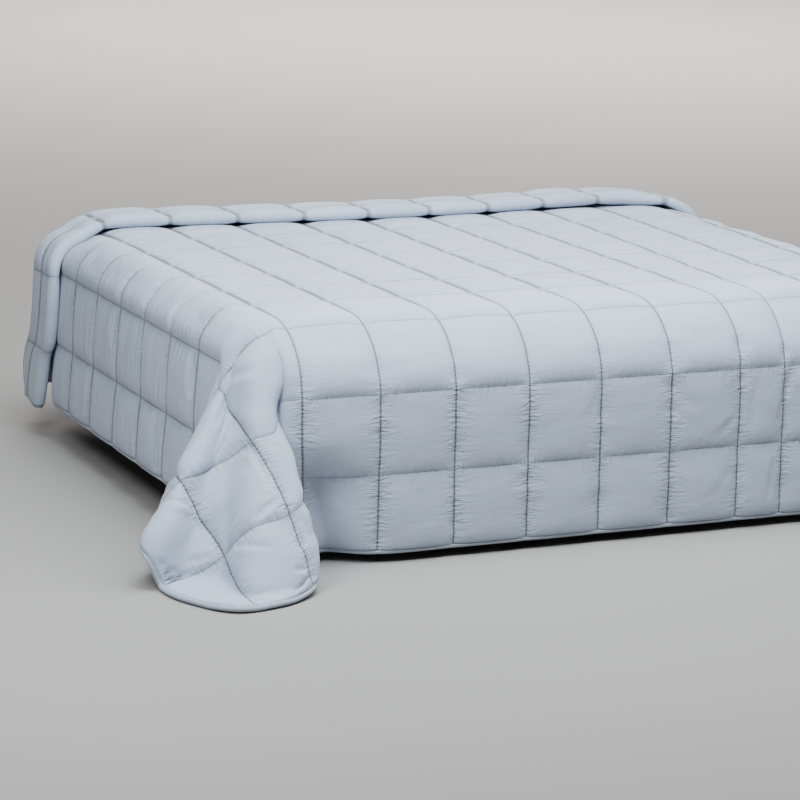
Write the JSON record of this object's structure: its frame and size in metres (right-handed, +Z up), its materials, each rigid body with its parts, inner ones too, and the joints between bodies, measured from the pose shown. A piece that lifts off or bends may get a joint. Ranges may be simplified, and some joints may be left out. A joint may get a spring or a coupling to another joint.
{
  "type": "weighted blanket on a bed",
  "caption": "Box-quilted blanket with a piped edge, draped over a plain low bed, with loose cloth fanned out at the near corners and a pleat laid along the far side.",
  "frame": {"origin": "on the floor under the middle of the bed, on the underside of the centre leg", "axes": "+Z up; +X along the near side of the bed, to the right; +Y from the near side to the far side"},
  "size_m": [2.4615, 2.0992, 0.6263],
  "materials": {
    "blanket_fabric": "fine weave, soft matte sheen",
    "binding_fabric": "fine weave, soft matte sheen",
    "mattress_fabric": "matte knitted ticking",
    "base_fabric": "matte woven upholstery",
    "leg_wood": "dark stain, satin"
  },
  "bodies": {
    "root": {"blanket": "blanket_fabric", "edge_binding": "binding_fabric", "mattress": "mattress_fabric", "bed_base": "base_fabric", "leg_near_left": "leg_wood", "leg_near_right": "leg_wood", "leg_far_left": "leg_wood", "leg_far_right": "leg_wood", "leg_centre": "leg_wood"}
  },
  "joints": []
}
